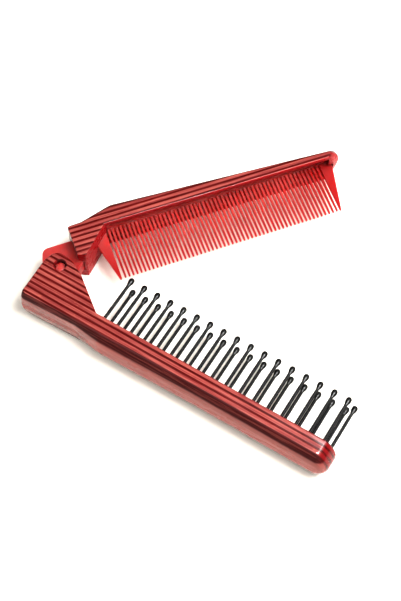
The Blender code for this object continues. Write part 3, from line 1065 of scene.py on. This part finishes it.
class BuildHingePin(bpy.types.Operator):
    """Builds the domed hinge pin"""

    bl_idname = "folding_comb.hinge_pin"
    bl_label = "Hinge Pin"

    def execute(self, context):
        dome = quarter_turn(DOME_STEPS)
        rise = [(PIN_DOME * (1 - math.cos(a)), PIN_RADIUS * math.sin(a)) for a in dome]
        profile = [(PIN_RECESS + depth, radius) for depth, radius in rise]
        top = THICKNESS - PIN_RECESS
        profile += [(top - depth, radius) for depth, radius in reversed(rise)]
        pin = turned("hinge_pin_look", profile, PIN_SIDES)
        smooth(pin, PIN_SHARP_ANGLE)
        place(pin, 0)
        material = moulded_red("hinge_red_plastic", context.scene.comb_insert_look)
        dress(pin, material, BRUSH_BODY, ["hinge_pin"])
        return {"FINISHED"}


class BuildCombShell(bpy.types.Operator):
    """Builds the comb arm's striped shell"""

    bl_idname = "folding_comb.comb_shell"
    bl_label = "Comb Shell"

    def execute(self, context):
        look = context.scene.comb_shell_look
        edge_radius = to_mm(look.edge_radius) * COMB_RIM_SHARE
        levels = shell_levels(COMB_BACK + COMB_FRONT, comb_flat, edge_radius)
        levels = [(height, mirrored(outline)) for height, outline in levels]
        shell = stacked("comb_shell_look", levels)
        stations = (COMB_CHANNEL_START, COMB_SHOULDER, COMB_CHANNEL_BEND, COMB_CHANNEL_END)
        channel = [(x, min(comb_edge(x) + COMB_FLOOR, COMB_CHANNEL_DEPTH)) for x in stations]
        channel += [(COMB_CHANNEL_END, COMB_MOUTH), (COMB_CHANNEL_START, COMB_MOUTH)]
        groove = spine_back(GAP)
        groove += [(SPINE_END + GAP, COMB_MOUTH), (SPINE_START - GAP, COMB_MOUTH)]
        groove_half = SPINE_HALF + GAP
        guard = (MIDDLE - GUARD_SLOT_HALF, MIDDLE + GUARD_SLOT_HALF)
        cutters = [
            prism("cut_channel", mirrored(channel), WALL, THICKNESS - WALL),
            prism("cut_groove", mirrored(groove), MIDDLE - groove_half, MIDDLE + groove_half),
            prism("cut_slot", flipped(grown(tongue_outline(), GAP)), CHEEK, THICKNESS - CHEEK),
            prism("cut_guard_slot", mirrored(GUARD_SLOT), *guard),
        ]
        apply_booleans(shell, cutters)
        smooth(shell)
        place(shell, ARM_ANGLE)
        material = striped_lacquer("comb_arm_stripes", look, ARM_ANGLE, COMB_FIRST_STRIPE, -1.0)
        dress(shell, material, COMB_BODY, ["comb_shell"])
        return {"FINISHED"}


class BuildCombInsert(bpy.types.Operator):
    """Builds the toothed insert and its tongue"""

    bl_idname = "folding_comb.comb_insert"
    bl_label = "Comb Insert"

    def execute(self, context):
        look = context.scene.comb_insert_look
        insert = self.toothed_plate(to_mm(look.tooth_edge))
        spine = spine_back(0) + [(SPINE_END, SPINE_FACE), (SPINE_START, SPINE_FACE)]
        sides = (CHEEK + GAP, THICKNESS - CHEEK - GAP)
        edge_radius = to_mm(look.edge_radius)
        eye = circle_outline(PIN_RADIUS + GAP, PIN_SIDES)
        joined = [
            prism("join_spine", mirrored(spine), MIDDLE - SPINE_HALF, MIDDLE + SPINE_HALF),
            soft_prism(
                "join_tongue", mirrored(tongue_outline()), *sides, edge_radius, TONGUE_RIM_STEPS
            ),
        ]
        apply_booleans(insert, [prism("cut_eye", eye, 0.0, THICKNESS)], joined)
        smooth(insert)
        place(insert, ARM_ANGLE)
        material = moulded_red("insert_red_plastic", look, ARM_ANGLE, teeth=True)
        dress(insert, material, COMB_BODY, ["comb_insert"])
        return {"FINISHED"}

    def toothed_plate(self, edge):
        """The plate with its teeth, which thin towards their tips and have rounded edges."""
        outline = flipped(toothed_plate_outline())
        rings = []
        for side, inset in (
            (-1.0, edge),
            (-TOOTH_EDGE_FROM, 0.0),
            (TOOTH_EDGE_FROM, 0.0),
            (1.0, edge),
        ):
            ring = []
            for x, y in grown(outline, -inset):
                share = (-y - PLATE_BACK) / (TOOTH_TIP - PLATE_BACK)
                height = MIDDLE + side * blend(PLATE_BACK_HALF, PLATE_TIP_HALF, share)
                ring.append((x, y, height))
            rings.append(ring)
        return skinned("comb_insert_look", rings)


class BuildStage(bpy.types.Operator):
    """Sets up the pale table, the soft studio light and the camera"""

    bl_idname = "folding_comb.stage"
    bl_label = "Stage"

    def execute(self, context):
        scene = context.scene
        look = scene.comb_stage_look
        outline = circle_outline(TABLE_RADIUS, TABLE_SIDES)
        table = prism("table", outline, TABLE_BOTTOM, TABLE_TOP)
        table.data.materials.append(pale_table("pale_tabletop", look.table_colour))
        for name, share, size, location, gloss_only in LAMPS:
            self.hang_lamp(scene, name, look.softbox_power * share, size, location, gloss_only)
        self.light_room(scene, look.sky)
        self.set_camera(scene, look.lens)
        scene.view_settings.view_transform = "Standard"
        scene.view_settings.gamma = VIEW_GAMMA
        return {"FINISHED"}

    def hang_lamp(self, scene, name, power, size, location, gloss_only):
        """An area lamp turned to the comb. One for gloss only adds no light to matt surfaces."""
        light = bpy.data.lights.new(name, "AREA")
        light.shape = "RECTANGLE"
        light.energy = power
        light.size, light.size_y = size
        lamp = bpy.data.objects.new(name, light)
        lamp.location = location
        lamp.rotation_euler = (-lamp.location).to_track_quat("-Z", "Y").to_euler()
        lamp.visible_diffuse = not gloss_only
        lamp.visible_transmission = not gloss_only
        scene.collection.objects.link(lamp)

    def light_room(self, scene, brightness):
        """A pale ceiling that ends well above the horizon.

        It is a little dimmer in front, and dark where the arms' flat faces mirror it.
        """
        made = Nodes(bpy.data.worlds.new("studio_room"), "Background")
        direction = made.add("ShaderNodeTexCoord").outputs["Generated"]
        split = made.add("ShaderNodeSeparateXYZ", {"Vector": direction}).outputs
        mirrored_share = made.ramp(made.dot(direction, MIRRORED_PART), 0.68, 0.95, 1.0, 0.02)
        strength = made.math("MULTIPLY", made.ramp(split["Z"], 0.45, 0.75, 0.015), brightness)
        strength = made.math("MULTIPLY", made.ramp(split["Y"], -0.6, 0.2, 0.8), strength)
        strength = made.math("MULTIPLY", mirrored_share, strength)
        scene.world = made.finished(Color=CEILING_COLOUR, Strength=strength)

    def set_camera(self, scene, lens):
        """A camera that sees the comb as the photograph does."""
        camera = bpy.data.cameras.new("camera")
        camera.lens = lens
        camera.sensor_width = SENSOR_WIDTH
        camera.clip_start = 0.01
        eye = bpy.data.objects.new("camera", camera)
        back = CAMERA_RIGHT.cross(CAMERA_UP)
        turn = Matrix((CAMERA_RIGHT, CAMERA_UP, back)).transposed().to_4x4()
        eye.matrix_world = Matrix.Translation(HINGE + CAMERA_FROM_HINGE) @ turn
        scene.collection.objects.link(eye)
        scene.camera = eye


class CombPanel(bpy.types.Panel):
    """Lists the comb's pieces and their settings"""

    bl_idname = "VIEW3D_PT_folding_comb"
    bl_label = "Folding Comb"
    bl_space_type = "VIEW_3D"
    bl_region_type = "UI"
    bl_category = "Folding Comb"

    def draw(self, context):
        column = self.layout.column(align=True)
        for operator in OPERATORS:
            column.operator(operator.bl_idname)
        for attribute, group in LOOKS:
            box = self.layout.box()
            box.label(text=group.__doc__)
            for name in group.__annotations__:
                box.prop(getattr(context.scene, attribute), name)


OPERATORS = (
    BuildBrushShell,
    BuildBristleBed,
    BuildBrushPins,
    BuildHingePin,
    BuildCombShell,
    BuildCombInsert,
    BuildStage,
)
LOOKS = (
    ("comb_shell_look", ShellLook),
    ("comb_insert_look", InsertLook),
    ("comb_pin_look", PinLook),
    ("comb_stage_look", StageLook),
)


def register():
    for attribute, group in LOOKS:
        bpy.utils.register_class(group)
        setattr(bpy.types.Scene, attribute, bpy.props.PointerProperty(type=group))
    for cls in (*OPERATORS, CombPanel):
        bpy.utils.register_class(cls)


def unregister():
    for cls in reversed((*OPERATORS, CombPanel)):
        bpy.utils.unregister_class(cls)
    for attribute, group in reversed(LOOKS):
        delattr(bpy.types.Scene, attribute)
        bpy.utils.unregister_class(group)


def main():
    register()
    bpy.ops.folding_comb.brush_shell()
    bpy.ops.folding_comb.bristle_bed()
    bpy.ops.folding_comb.brush_pins()
    bpy.ops.folding_comb.hinge_pin()
    bpy.ops.folding_comb.comb_shell()
    bpy.ops.folding_comb.comb_insert()
    bpy.ops.folding_comb.stage()


if __name__ == "__main__":
    main()
